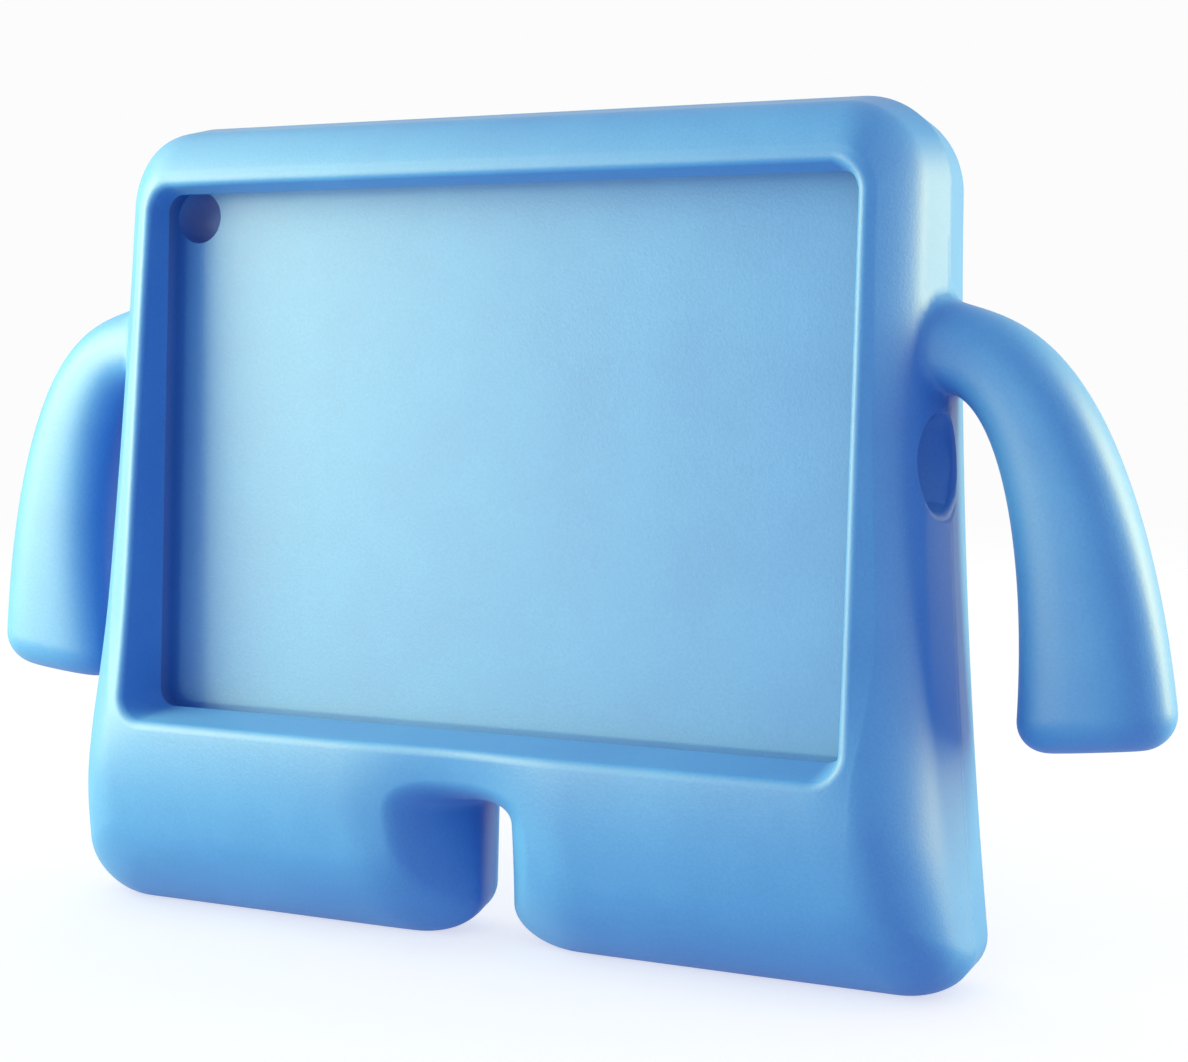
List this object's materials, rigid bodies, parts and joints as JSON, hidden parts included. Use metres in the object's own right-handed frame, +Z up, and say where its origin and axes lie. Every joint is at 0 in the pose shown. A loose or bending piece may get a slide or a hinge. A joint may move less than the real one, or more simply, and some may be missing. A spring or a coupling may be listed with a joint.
{
  "type": "kids tablet case",
  "caption": "One-piece foam case that stands on two feet, with bowed arm handles and a front window over a tablet pocket.",
  "frame": {"origin": "centre of the case's bounding box, on the floor under the feet", "axes": "+Z up, the front and its window face -Y, +X to the right as seen from the front"},
  "size_m": [0.3914, 0.067, 0.2438],
  "materials": {
    "eva_foam": "matte blue closed-cell EVA foam"
  },
  "bodies": {
    "root": {"case": "eva_foam"}
  },
  "joints": []
}
